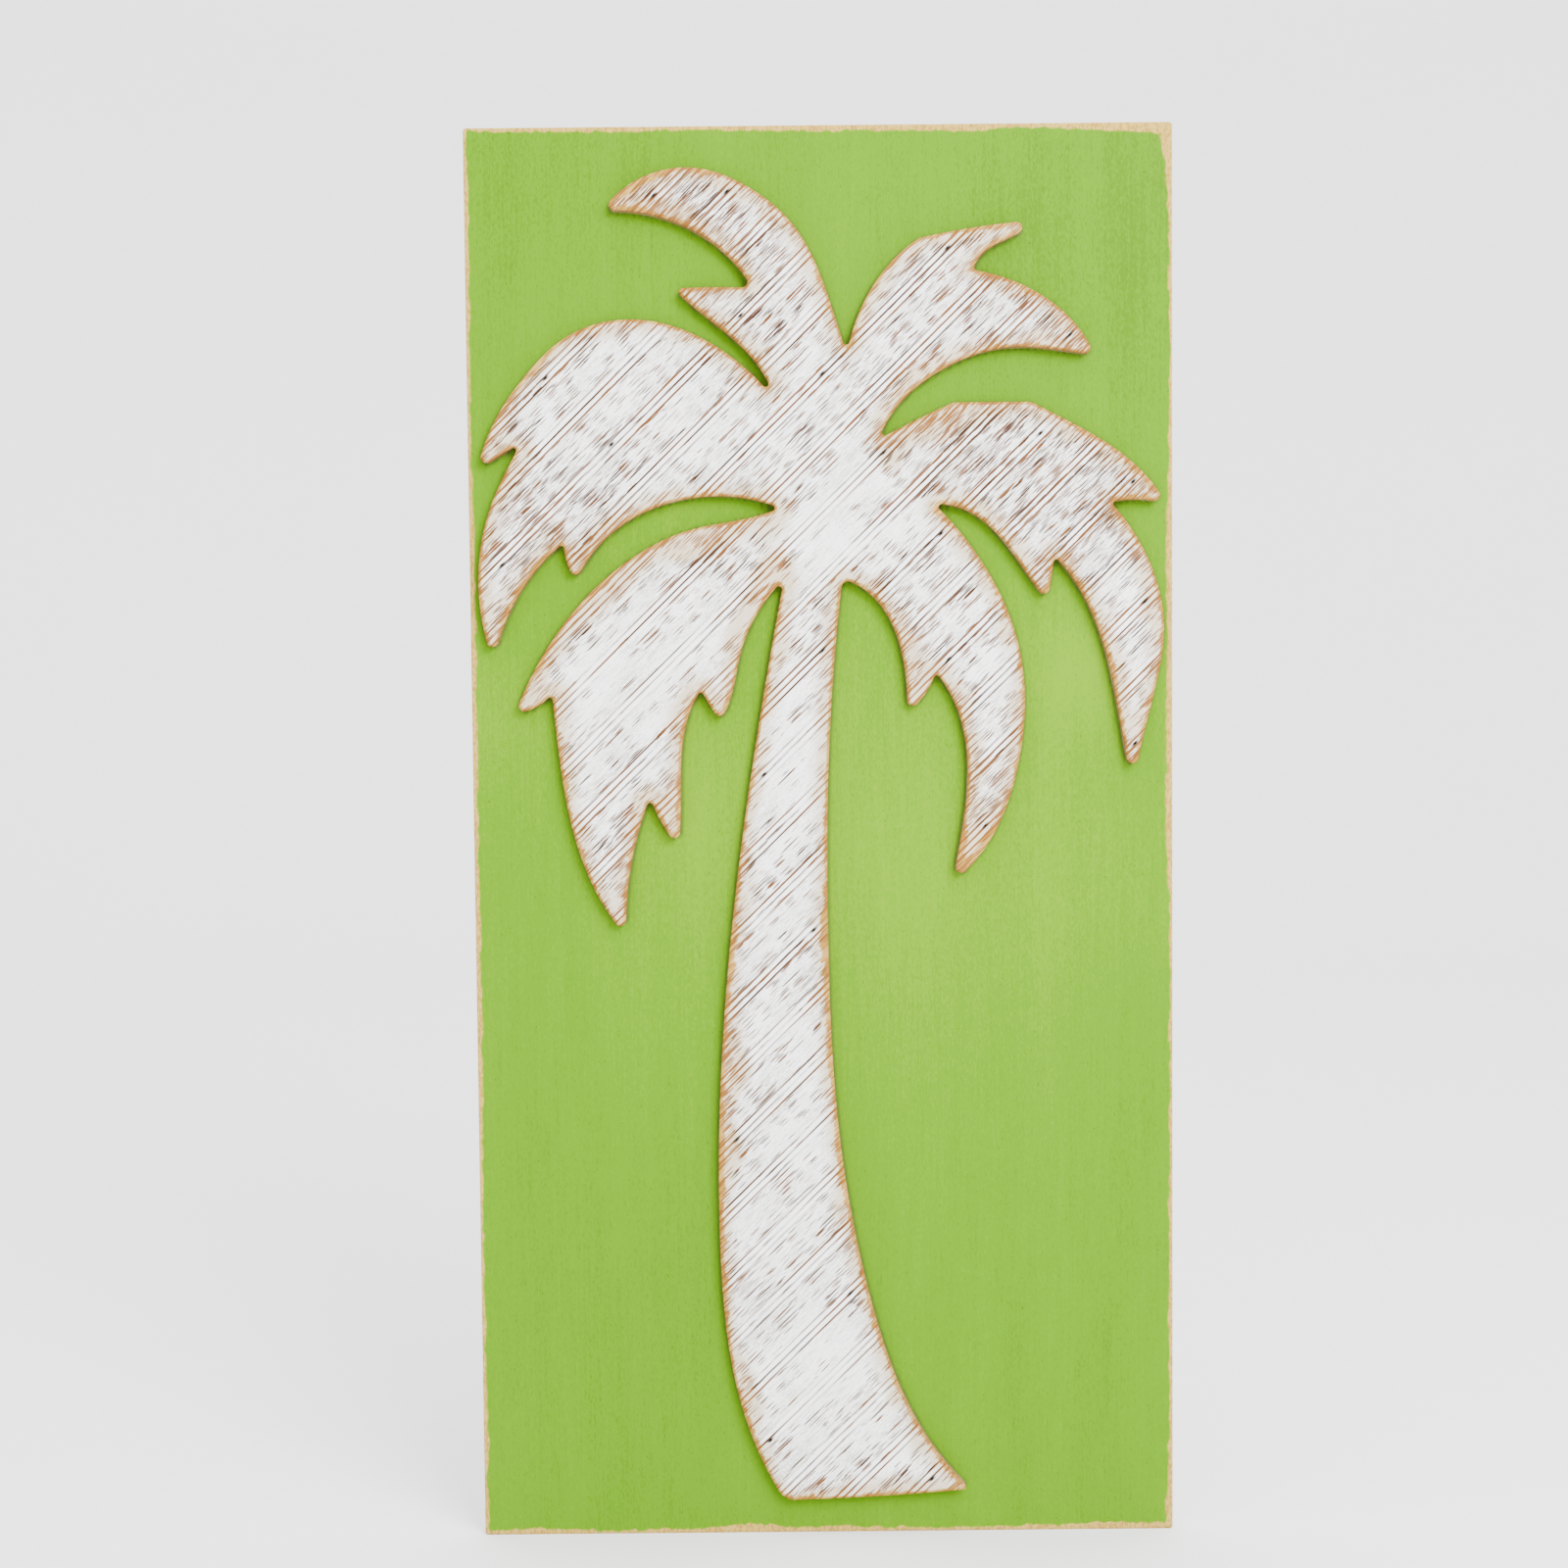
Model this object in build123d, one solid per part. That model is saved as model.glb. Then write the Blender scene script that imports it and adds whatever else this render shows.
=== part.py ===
from build123d import *
import os

# A plywood wall panel with a palm tree cutout pinned to its front.
# Row frame: X across the panel, Y from front to back, Z up. The origin is the middle
# of the panel's bottom edge, halfway through its thickness. The front faces -Y.

# Panel: one sheet of three-ply plywood, a nominal 12 by 24 inch piece.
PANEL_WIDTH = 302.0
PANEL_HEIGHT = 610.0
PANEL_CORNER_RADIUS = 1.5

# Both the panel and the cutout are sawn from the same 5.2 mm sheet.
SHEET_THICKNESS = 5.2
VENEER_THICKNESS = 0.7
CORE_THICKNESS = SHEET_THICKNESS - 2 * VENEER_THICKNESS
ARRIS_RADIUS = 0.35

PANEL_FRONT_Y = -SHEET_THICKNESS / 2
PANEL_BACK_Y = SHEET_THICKNESS / 2
CUTOUT_FRONT_Y = PANEL_FRONT_Y - SHEET_THICKNESS

# Radii left in the cutout by the scroll saw and the sander.
NOTCH_RADIUS = 1.4
TIP_RADIUS = 2.4

# Headless 23 gauge pins through the cutout into the panel.
PIN_RADIUS = 0.32
PIN_LENGTH = 9.5
PIN_SET_BELOW_FACE = 0.4

# Sawtooth hanger on the back, near the top edge.
HANGER_LENGTH = 46.0
HANGER_HEIGHT = 13.0
HANGER_SHEET = 0.9
HANGER_STEP = 1.5
HANGER_TAB = 8.5
HANGER_CENTRE_Z = PANEL_HEIGHT - 24.0
HANGER_SLOPE = 0.4
HANGER_END_RADIUS = 3.0
TOOTH_COUNT = 7
TOOTH_PITCH = 3.4
TOOTH_DEPTH = 2.0
NAIL_HOLE_INSET = 4.0

# Round-headed nails that hold the hanger.
NAIL_SHANK_RADIUS = 0.65
NAIL_LENGTH_IN_PANEL = 4.4
NAIL_HEAD_RADIUS = 1.9
NAIL_HEAD_HEIGHT = 0.9

# Rubber bumpers that keep the bottom of the panel off the wall.
BUMPER_RADIUS = 6.0
BUMPER_HEIGHT = HANGER_STEP + HANGER_SHEET
BUMPER_EDGE_RADIUS = 0.8
BUMPER_INSET_X = 16.0
BUMPER_INSET_Z = 18.0

# Outline of the palm, clockwise as seen from the front, in millimetres across from
# the panel's middle and up from its bottom edge. Each row is one side of a lobe: the
# corner that it starts at, the rounding radius of that corner, and the points that
# the side passes through on its way to the next corner.
PALM_SIDES = [
    # Upper left frond, from its tip over the top and down to the crown.
    ((-91.6, 573.9), TIP_RADIUS, [(-79.5, 585.2), (-55.0, 591.7), (-30.0, 583.5), (-10.0, 566.2), (2.5, 541.0)]),
    # Upper right frond, from the crown to its small upper tip, then its large lower tip.
    ((11.7, 512.6), NOTCH_RADIUS, [(20.0, 536.2), (31.0, 551.5)]),
    ((43.0, 561.3), 4.0, [(62.0, 564.8), (80.0, 567.2)]),
    ((92.2, 568.3), TIP_RADIUS, [(80.0, 560.6), (71.5, 556.0)]),
    ((65.6, 547.6), NOTCH_RADIUS, [(83.0, 542.7), (103.0, 530.6)]),
    ((117.2, 511.4), TIP_RADIUS, [(100.0, 513.9), (80.0, 514.8), (55.0, 507.2), (34.5, 492.0)]),
    # Right frond, along its flat top to the outer tip, then down to its long lower tip.
    ((24.8, 476.3), NOTCH_RADIUS, [(40.0, 484.0)]),
    ((57.0, 491.7), 3.0, []),
    ((90.0, 491.7), 6.0, [(112.0, 480.2), (133.0, 466.0)]),
    ((147.4, 448.2), TIP_RADIUS, [(134.0, 449.9)]),
    ((123.6, 448.9), NOTCH_RADIUS, [(135.0, 434.0), (146.6, 398.0), (141.3, 363.0)]),
    ((133.5, 326.0), TIP_RADIUS, [(128.0, 355.0), (115.8, 402.0)]),
    ((99.8, 426.4), NOTCH_RADIUS, [(98.4, 417.0)]),
    ((97.0, 406.5), TIP_RADIUS, [(85.0, 423.4), (70.0, 441.0)]),
    # Lower right frond, down its outer side to its long tip and back up.
    ((48.2, 448.9), NOTCH_RADIUS, [(67.5, 425.8), (84.6, 387.0), (84.2, 338.0), (70.5, 302.5)]),
    ((55.6, 286.5), TIP_RADIUS, [(61.4, 320.0), (61.0, 350.0)]),
    ((48.8, 377.0), NOTCH_RADIUS, [(44.0, 367.5)]),
    ((36.4, 359.5), TIP_RADIUS, [(34.6, 384.0), (23.5, 408.0)]),
    # Trunk, down its right side, across the base and up its left side.
    ((9.0, 417.3), 3.0, [(3.0, 350.0), (1.6, 270.0), (6.2, 174.0), (19.0, 104.0), (40.0, 48.0)]),
    ((61.4, 20.2), 1.2, [(22.0, 17.5)]),
    ((-19.3, 16.0), 8.0, [(-37.0, 55.5), (-46.4, 130.0), (-43.6, 228.0), (-32.0, 326.5)]),
    # Lower left frond, down its inner side with two small tips, then its long tip.
    ((-16.0, 417.2), NOTCH_RADIUS, [(-24.8, 407.0), (-34.6, 387.0), (-38.4, 370.0)]),
    ((-43.8, 357.0), TIP_RADIUS, [(-48.0, 363.0)]),
    ((-52.0, 370.4), NOTCH_RADIUS, [(-58.4, 356.5), (-61.2, 334.0)]),
    ((-62.6, 302.6), TIP_RADIUS, [(-69.2, 312.5)]),
    ((-74.6, 324.4), NOTCH_RADIUS, [(-81.4, 303.0)]),
    ((-85.6, 264.4), TIP_RADIUS, [(-101.4, 290.5), (-112.4, 335.0)]),
    ((-116.0, 369.8), NOTCH_RADIUS, [(-121.5, 364.3)]),
    ((-131.8, 361.2), TIP_RADIUS, [(-118.4, 387.6), (-88.0, 421.8), (-55.0, 438.8), (-30.0, 443.6)]),
    # Left frond, along its underside with a small tip, then its two outer tips.
    ((-17.2, 447.6), NOTCH_RADIUS, [(-50.0, 452.7), (-86.0, 440.3)]),
    ((-105.0, 417.5), TIP_RADIUS, [(-108.9, 425.5)]),
    ((-110.0, 433.9), NOTCH_RADIUS, [(-123.0, 421.0)]),
    ((-141.0, 383.4), TIP_RADIUS, [(-146.8, 416.0), (-142.2, 446.0), (-136.4, 460.0)]),
    ((-126.6, 478.0), NOTCH_RADIUS, [(-136.0, 471.4)]),
    ((-146.4, 465.8), TIP_RADIUS, [(-137.2, 488.4), (-124.2, 506.2), (-107.0, 521.3), (-79.0, 528.0), (-42.0, 515.0)]),
    # Upper left frond, back along its underside.
    ((-19.0, 493.0), NOTCH_RADIUS, [(-29.5, 512.3), (-46.0, 527.2)]),
    ((-61.8, 540.9), 1.6, [(-47.0, 541.3)]),
    ((-28.4, 540.9), 2.4, [(-40.5, 556.2), (-62.0, 569.2)]),
]

# Pin positions, across and up as for the outline.
PIN_PLACES = [
    (-69.8, 580.0), (-38.8, 581.3), (-33.5, 529.2), (-116.9, 503.5), (-89.1, 475.3), (-136.6, 424.3),
    (1.1, 504.3), (54.7, 556.8), (106.6, 519.8), (26.9, 470.7), (93.9, 478.3), (133.4, 457.4),
    (138.4, 406.3), (134.1, 345.6), (51.2, 436.1), (54.2, 382.3), (69.6, 310.7), (0.2, 386.7),
    (-25.3, 333.7), (-4.6, 266.3), (-38.7, 175.4), (9.9, 107.4), (-25.4, 42.9), (45.0, 25.1),
]


def upright(shape, front_y, depth):
    """Extrude a flat shape, drawn with X across and Y up, from front_y towards the back."""
    front = Plane(origin=(0, front_y, 0), x_dir=(1, 0, 0), z_dir=(0, -1, 0))
    return extrude(front * shape, -depth)


def round_front_edges(ply, front_y):
    """Ease the sharp edge all round the front face of a ply."""
    edges = ply.edges().filter_by(lambda edge: abs(edge.center().Y - front_y) < 0.01)
    return fillet(edges, ARRIS_RADIUS)


def round_back_edges(ply, back_y):
    """Ease the sharp edge all round the back face of a ply."""
    edges = ply.edges().filter_by(lambda edge: abs(edge.center().Y - back_y) < 0.01)
    return fillet(edges, ARRIS_RADIUS)


def rod(x, z, start_y, end_y, radius):
    """Round rod along Y at a place on the panel."""
    plane = Plane(origin=(x, start_y, z), x_dir=(1, 0, 0), z_dir=(0, 1, 0))
    return extrude(plane * Circle(radius), end_y - start_y)


def three_plies(shape, front_y):
    """Face veneer, core and back veneer of one piece of plywood with the given outline."""
    core_y = front_y + VENEER_THICKNESS
    back_y = core_y + CORE_THICKNESS
    face = upright(shape, front_y, VENEER_THICKNESS)
    core = upright(shape, core_y, CORE_THICKNESS)
    back = upright(shape, back_y, VENEER_THICKNESS)
    return face, core, back


def panel_outline():
    """Flat rectangle of the panel, standing on the origin."""
    return Pos(0, PANEL_HEIGHT / 2) * RectangleRounded(PANEL_WIDTH, PANEL_HEIGHT, PANEL_CORNER_RADIUS)


def palm_outline():
    """Flat palm shape with every corner rounded."""
    sides = []
    for index, (corner, _, points) in enumerate(PALM_SIDES):
        next_corner = PALM_SIDES[(index + 1) % len(PALM_SIDES)][0]
        if points:
            sides.append(Spline([corner, *points, next_corner]))
        else:
            sides.append(Line(corner, next_corner))
    outline = make_face(sides)
    for corner, radius, _ in PALM_SIDES:
        vertex = outline.vertices().sort_by_distance((*corner, 0))[0]
        outline = fillet(vertex, radius)
    return outline


def pins():
    """All the pins, set a little below the face of the cutout."""
    start_y = CUTOUT_FRONT_Y + PIN_SET_BELOW_FACE
    return [rod(x, z, start_y, start_y + PIN_LENGTH, PIN_RADIUS) for x, z in PIN_PLACES]


def pin_holes():
    """The holes that the pins made, open at the face of the cutout."""
    end_y = CUTOUT_FRONT_Y + PIN_SET_BELOW_FACE + PIN_LENGTH
    return [rod(x, z, CUTOUT_FRONT_Y, end_y, PIN_RADIUS) for x, z in PIN_PLACES]


def hanger_bridge_teeth():
    """Row of downward teeth along the lower edge of the hanger's bridge."""
    lower_z = HANGER_CENTRE_Z - HANGER_HEIGHT / 2
    first_x = -(TOOTH_COUNT - 1) / 2 * TOOTH_PITCH
    gullets = []
    for index in range(TOOTH_COUNT):
        x = first_x + index * TOOTH_PITCH
        corners = [
            (x - TOOTH_PITCH / 2, lower_z - 1),
            (x - TOOTH_PITCH / 2, lower_z),
            (x, lower_z + TOOTH_DEPTH),
            (x + TOOTH_PITCH / 2, lower_z),
            (x + TOOTH_PITCH / 2, lower_z - 1),
        ]
        gullets.append(upright(make_face(Polyline(*corners, close=True)), 0, 2 * SHEET_THICKNESS))
    return gullets


def sawtooth_hanger():
    """Pressed steel strip: flat nailed tabs at its ends and a toothed bridge between them."""
    half = HANGER_LENGTH / 2
    bridge = half - HANGER_TAB
    tab_y = PANEL_BACK_Y + HANGER_SHEET
    bridge_y = PANEL_BACK_Y + HANGER_STEP
    section = Polyline(
        (-half, PANEL_BACK_Y),
        (-bridge, PANEL_BACK_Y),
        (-bridge + HANGER_STEP, bridge_y),
        (bridge - HANGER_STEP, bridge_y),
        (bridge, PANEL_BACK_Y),
        (half, PANEL_BACK_Y),
        (half, tab_y),
        (bridge + HANGER_SLOPE, tab_y),
        (bridge - HANGER_STEP + HANGER_SLOPE, bridge_y + HANGER_SHEET),
        (-bridge + HANGER_STEP - HANGER_SLOPE, bridge_y + HANGER_SHEET),
        (-bridge - HANGER_SLOPE, tab_y),
        (-half, tab_y),
        close=True,
    )
    lower = Plane.XY.offset(HANGER_CENTRE_Z - HANGER_HEIGHT / 2)
    strip = extrude(lower * make_face(section), HANGER_HEIGHT)
    outline = Pos(0, HANGER_CENTRE_Z) * RectangleRounded(HANGER_LENGTH, HANGER_HEIGHT, HANGER_END_RADIUS)
    strip = strip & upright(outline, 0, 2 * SHEET_THICKNESS)
    return strip - hanger_bridge_teeth() - nail_shanks()


def nail_places():
    """Centres of the two hanger nails, across and up."""
    x = HANGER_LENGTH / 2 - NAIL_HOLE_INSET
    return [(-x, HANGER_CENTRE_Z), (x, HANGER_CENTRE_Z)]


def nail_shanks():
    """The shanks of the hanger nails, from under their heads into the panel."""
    start_y = PANEL_BACK_Y - NAIL_LENGTH_IN_PANEL
    end_y = PANEL_BACK_Y + HANGER_SHEET
    return [rod(x, z, start_y, end_y, NAIL_SHANK_RADIUS) for x, z in nail_places()]


def hanger_nails():
    """Two nails with low domed heads."""
    under_head = PANEL_BACK_Y + HANGER_SHEET
    nails = []
    for (x, z), shank in zip(nail_places(), nail_shanks()):
        head = rod(x, z, under_head, under_head + NAIL_HEAD_HEIGHT, NAIL_HEAD_RADIUS)
        rim = head.edges().sort_by(Axis.Y)[-1]
        nails.append(shank + fillet(rim, NAIL_HEAD_HEIGHT * 0.8))
    return nails


def bumper(x):
    """Round rubber bumper on the back, near the bottom edge."""
    button = rod(x, BUMPER_INSET_Z, PANEL_BACK_Y, PANEL_BACK_Y + BUMPER_HEIGHT, BUMPER_RADIUS)
    rim = button.edges().sort_by(Axis.Y)[-1]
    return fillet(rim, BUMPER_EDGE_RADIUS)


def main():
    panel_face, panel_core, panel_back = three_plies(panel_outline(), PANEL_FRONT_Y)
    panel_face = round_front_edges(panel_face, PANEL_FRONT_Y)
    panel_back = round_back_edges(panel_back, PANEL_BACK_Y)
    palm_face, palm_core, palm_back = three_plies(palm_outline(), CUTOUT_FRONT_Y)
    palm_face = round_front_edges(palm_face, CUTOUT_FRONT_Y)
    holes = pin_holes()
    shanks = nail_shanks()
    bumper_x = PANEL_WIDTH / 2 - BUMPER_INSET_X

    parts = {
        "panel_face_veneer": panel_face - holes,
        "panel_core": panel_core - holes - shanks,
        "panel_back_veneer": panel_back - holes - shanks,
        "palm_face_veneer": palm_face - holes,
        "palm_core": palm_core - holes,
        "palm_back_veneer": palm_back - holes,
        "pin_nails": Compound(children=pins()),
        "sawtooth_hanger": sawtooth_hanger(),
        "hanger_nails": Compound(children=hanger_nails()),
        "left_bumper": bumper(-bumper_x),
        "right_bumper": bumper(bumper_x),
    }
    os.makedirs("parts", exist_ok=True)
    for name, shape in parts.items():
        export_step(shape, f"parts/{name}.step")


main()
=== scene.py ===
"""Looks of the palm tree wall panel: a lime green plywood panel with a whitewashed palm cutout on it."""

import math

import bpy
import numpy as np
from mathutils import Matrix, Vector
from mathutils.geometry import delaunay_2d_cdt
from mathutils.kdtree import KDTree


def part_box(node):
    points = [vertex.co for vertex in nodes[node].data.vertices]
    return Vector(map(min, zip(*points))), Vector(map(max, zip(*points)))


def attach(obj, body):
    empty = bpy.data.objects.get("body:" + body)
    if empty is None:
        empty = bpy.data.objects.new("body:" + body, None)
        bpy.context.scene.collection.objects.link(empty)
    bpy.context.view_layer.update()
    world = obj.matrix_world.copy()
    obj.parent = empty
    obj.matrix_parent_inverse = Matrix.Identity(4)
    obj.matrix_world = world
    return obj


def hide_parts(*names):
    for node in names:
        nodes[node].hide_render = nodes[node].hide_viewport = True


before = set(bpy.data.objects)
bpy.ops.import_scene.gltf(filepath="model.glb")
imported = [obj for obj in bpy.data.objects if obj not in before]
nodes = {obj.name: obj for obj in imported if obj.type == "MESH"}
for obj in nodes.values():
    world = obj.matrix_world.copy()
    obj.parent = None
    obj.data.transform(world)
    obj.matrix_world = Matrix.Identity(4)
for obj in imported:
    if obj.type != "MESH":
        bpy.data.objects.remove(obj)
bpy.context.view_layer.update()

MM = 0.001
SEED = 11

# Lengths of the relief and the wear are in millimetres, angles in degrees above the horizontal.
PALM_GRAIN = 44.3
PANEL_GRAIN = 90.0

# Point (x, z) from which the grain's coordinates are measured.
GRAIN_ORIGIN = (0, 300)

# Where a mark's edge starts and ends, as a share of its cell, and a cell's depth, far more than any ply's.
STROKE_EDGE = (0.25, 0.36)
STROKE_DEPTH = 1000.0

# The rough-sawn face of the palm: pairs of smooth raised ridges that come back at one pitch.
BAND_PITCH = 20.7
BAND_SHIFT = 0.1
BAND_RIDGES = (-1.25, 1.25)
BAND_GROOVES = (-2.5, 0.0, 2.5)
RIDGE_HEIGHT = 0.10
RIDGE_WIDTH = 0.62
BAND_GROOVE_DEPTH = 0.17
BAND_GROOVE_WIDTH = 0.30
DASH_DEPTH = 0.08
RIM_WEAR_REACH = 5.0

# Drop of the sanded rims, on the back after its width, and how far saw marks stand out on a sawn edge.
PALM_ARRIS_DEPTH = 0.42
PANEL_ARRIS_DEPTH = 0.34
BACK_ARRIS = (0.7, 0.3)
PALM_SAW_DEPTH = 0.07
PANEL_SAW_DEPTH = 0.05

# Angles beyond which an edge is shaded as sharp, on a sheet with relief and on a plain slab.
RELIEF_CREASE = 62
SLAB_CREASE = 40

# Spacing of mesh points along and across the grain, and distances of the rows that follow the rim.
PALM_SPACING = (2.8, 0.345)
PALM_RIM_ROWS = (0.14, 0.36, 0.72, 1.2)
PANEL_SPACING = (3.6, 1.4)
BACK_SPACING = (7.0, 1.4)
PANEL_RIM_ROWS = (0.2, 0.5, 0.95, 1.6, 2.5, 4.0)
CORE_LEVELS = (0, 0.2, 0.4, 0.6, 0.8, 1)
VENEER_LEVELS = (0, 0.35, 0.7, 1)
PALM_OUTLINE_STEP = 0.95
PANEL_OUTLINE_STEP = 2.2

# Width of the glue line that shows on a core's sawn edge.
GLUE_WIDTH = 0.28

# Openings over the pins, long way along the grain. The last is the reach of the dark ring round each opening:
# partly stain, partly painted shade of the hole.
PIN_OPENING = (0.85, 0.52)
PIN_OPENING_POINTS = 14
PIN_CLEARANCE = (1.7, 0.75)
PIN_STAIN_AND_SHADE = (0.95, 0.62)

# How worn the palm's paint is: x, z, radius and how much more or less of it has gone.
PALM_ZONES = (
    (-133, 512, 20, 0.55),
    (-112, 545, 30, 0.10),
    (-120, 436, 26, 0.45),
    (-88, 450, 20, 0.15),
    (-50, 420, 16, 0.25),
    (-40, 555, 30, 0.40),
    (-70, 582, 22, 0.45),
    (60, 560, 30, 0.45),
    (100, 520, 24, 0.45),
    (45, 470, 22, 0.35),
    (72, 468, 24, 0.60),
    (104, 452, 24, 0.55),
    (130, 460, 22, 0.30),
    (120, 410, 30, 0.15),
    (66, 380, 30, -0.10),
    (62, 330, 22, 0.10),
    (20, 460, 26, -0.18),
    (0, 425, 24, -0.30),
    (-5, 330, 36, -0.45),
    (-8, 210, 24, -0.25),
    (-5, 150, 30, -0.15),
    (10, 70, 44, -0.27),
    (-80, 380, 24, -0.42),
    (-60, 400, 26, -0.38),
)

# Width of the sanded band along the palm's rim: x, z, radius and how much wider it is there.
PALM_SANDING = (
    (-108, 572, 30, 1.1),
    (-130, 543, 24, 1.3),
    (-139, 514, 12, 2.2),
    (-142, 420, 16, 0.9),
    (-121, 392, 16, 1.2),
    (-78, 590, 20, 0.9),
    (-36, 224, 40, 1.0),
    (-36, 140, 44, 1.5),
    (10, 262, 26, 1.6),
    (16, 180, 30, 0.8),
    (36, 95, 40, 0.9),
    (70, 30, 20, 0.7),
    (136, 455, 18, 1.3),
    (138, 370, 30, 0.7),
    (60, 292, 18, 1.6),
    (80, 590, 20, 0.7),
    (118, 502, 20, 0.9),
    (-86, 262, 14, 0.8),
)

# Where worn wood shows orange through the palm's paint: x, z, radius and how much.
PALM_RUST = (
    (48, 488, 14, 0.9),
    (30, 462, 10, 0.7),
    (-20, 424, 14, 0.8),
    (34, 384, 14, 0.5),
    (-53, 431, 12, 0.9),
    (-87, 434, 9, 0.6),
    (-64, 313, 13, 0.8),
    (-42, 171, 9, 0.8),
    (-37, 205, 9, 0.6),
    (-36, 60, 9, 0.6),
    (-130, 375, 14, 0.6),
    (-130, 520, 10, 0.6),
    (42, 350, 16, 0.5),
    (70, 300, 14, 0.5),
    (-70, 568, 12, 0.5),
    (112, 500, 12, 0.5),
    (-72, 392, 34, 0.5),
)

# Width of the bare band along the panel's rim: x, z, radius and how much wider it is there.
PANEL_SANDING = (
    (128, 610, 26, 1.9),
    (147, 603, 12, 1.6),
    (20, 610, 40, 0.8),
    (60, 610, 14, 0.9),
    (-100, 610, 30, 0.3),
    (151, 330, 46, 1.0),
    (151, 420, 30, 0.6),
    (-33, 0, 16, 2.6),
    (5, 0, 12, 1.8),
    (118, 0, 40, 1.2),
    (-125, 0, 22, 0.9),
    (-151, 240, 60, 0.3),
)

# How much paler the panel's green is, negative where darker: x, z, radius and how much. Partly thinner paint,
# partly painted light: a broad pool of light over the middle, a painted sheen patch on the right, and painted
# shade at the top corners and the lower left.
PANEL_PALE_AND_LIT = (
    (0, 340, 140, 0.45),
    (115, 375, 26, 0.55),
    (-138, 360, 28, 0.40),
    (125, 290, 40, 0.20),
    (40, 285, 60, 0.25),
    (-40, 310, 40, 0.25),
    (-130, 590, 60, -0.20),
    (120, 560, 80, -0.35),
    (-110, 130, 60, -0.12),
)

# The studio, in metres: a round floor that curves up into a wall.
STUDIO_RADIUS = 3.4
STUDIO_CORNER = 1.5
STUDIO_CORNER_POINTS = 25
STUDIO_FLOOR_RADII = (0.0, 0.5, 1.0, 1.5)
STUDIO_HEIGHT = 3.6
STUDIO_SIDES = 96

# Area lights: name, place, target and size in metres, and power in watts.
LIGHTS = (
    ("key", (0.75, -1.35, 1.25), (0, 0, 0.32), (0.9, 0.9), 82),
    ("wall_wash", (0, 1.5, 2.8), (0, 3.4, 0.5), (3.0, 0.6), 50),
)
SKY_STRENGTH = 5.3

# The camera: its lens in mm, its place in metres and its turns in degrees.
LENS = 54.0
EYE = (-0.0173, -1.0172, 0.3835)
EYE_TURNS = (86.939, 0.534, -0.057)


# Plane geometry -----------------------------------------------------------------------------------


def grain_axes(angle):
    """Unit vectors (x, z) along and across a grain that rises at this angle."""
    a = math.radians(angle)
    return np.array([(math.cos(a), math.sin(a)), (-math.sin(a), math.cos(a))])


def flat_loops(node, y_plane):
    """The closed loops (x, z), in mm, round the node's flat face at that y, the longest first."""
    mesh = nodes[node].data
    mesh.calc_loop_triangles()
    edges = set()
    for triangle in mesh.loop_triangles:
        corners = [mesh.vertices[i].co for i in triangle.vertices]
        if any(abs(c.y - y_plane) > 1e-6 for c in corners):
            continue
        ends = [(round(c.x / MM, 3), round(c.z / MM, 3)) for c in corners]
        for a, b in zip(ends, ends[1:] + ends[:1]):
            if (b, a) in edges:
                edges.remove((b, a))
            else:
                edges.add((a, b))
    following = dict(sorted(edges))
    loops = []
    while following:
        start = next(iter(following))
        loop = [start]
        point = following.pop(start)
        while point != start:
            loop.append(point)
            point = following.pop(point)
        loops.append(np.array(loop))
    return sorted(loops, key=loop_length, reverse=True)


def loop_length(loop):
    return float(np.linalg.norm(np.roll(loop, -1, 0) - loop, axis=1).sum())


def smoothed(loop, step):
    """The loop with curves in place of its chords, and points at most a step apart."""
    ahead = np.roll(loop, -1, 0)
    tangent = ahead - np.roll(loop, 1, 0)
    tangent /= np.linalg.norm(tangent, axis=1)[:, None]
    chord = np.linalg.norm(ahead - loop, axis=1)
    points = []
    for i in range(len(loop)):
        j = (i + 1) % len(loop)
        count = max(1, math.ceil(chord[i] / step))
        t = np.arange(count)[:, None] / count
        points.append(
            loop[i] * (2 * t**3 - 3 * t**2 + 1)
            + loop[j] * (3 * t**2 - 2 * t**3)
            + tangent[i] * chord[i] * (t**3 - 2 * t**2 + t)
            + tangent[j] * chord[i] * (t**3 - t**2)
        )
    return np.vstack(points)


def anticlockwise(loop):
    """The loop's points in the order that keeps its inside on the left, seen from the front."""
    ahead = np.roll(loop, -1, 0)
    area = np.sum(loop[:, 0] * ahead[:, 1] - loop[:, 1] * ahead[:, 0])
    return loop if area > 0 else loop[::-1]


def inward(loop):
    """Unit vectors that point from an anticlockwise loop into its inside."""
    tangent = np.roll(loop, -1, 0) - np.roll(loop, 1, 0)
    tangent /= np.linalg.norm(tangent, axis=1)[:, None]
    return np.c_[-tangent[:, 1], tangent[:, 0]]


def edge_distance(points, loop):
    """Distance from each point to the nearest stretch of the loop."""
    tree = KDTree(len(loop))
    for i, (x, z) in enumerate(loop):
        tree.insert((x, z, 0), i)
    tree.balance()
    nearest = np.array([tree.find((x, z, 0))[1] for x, z in points])
    distance = np.full(len(points), np.inf)
    for start in (nearest - 1, nearest):
        a = loop[start]
        b = loop[(start + 1) % len(loop)]
        along = np.clip(np.sum((points - a) * (b - a), 1) / np.sum((b - a) ** 2, 1), 0, 1)
        gap = points - a - along[:, None] * (b - a)
        distance = np.minimum(distance, np.linalg.norm(gap, axis=1))
    return distance


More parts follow.
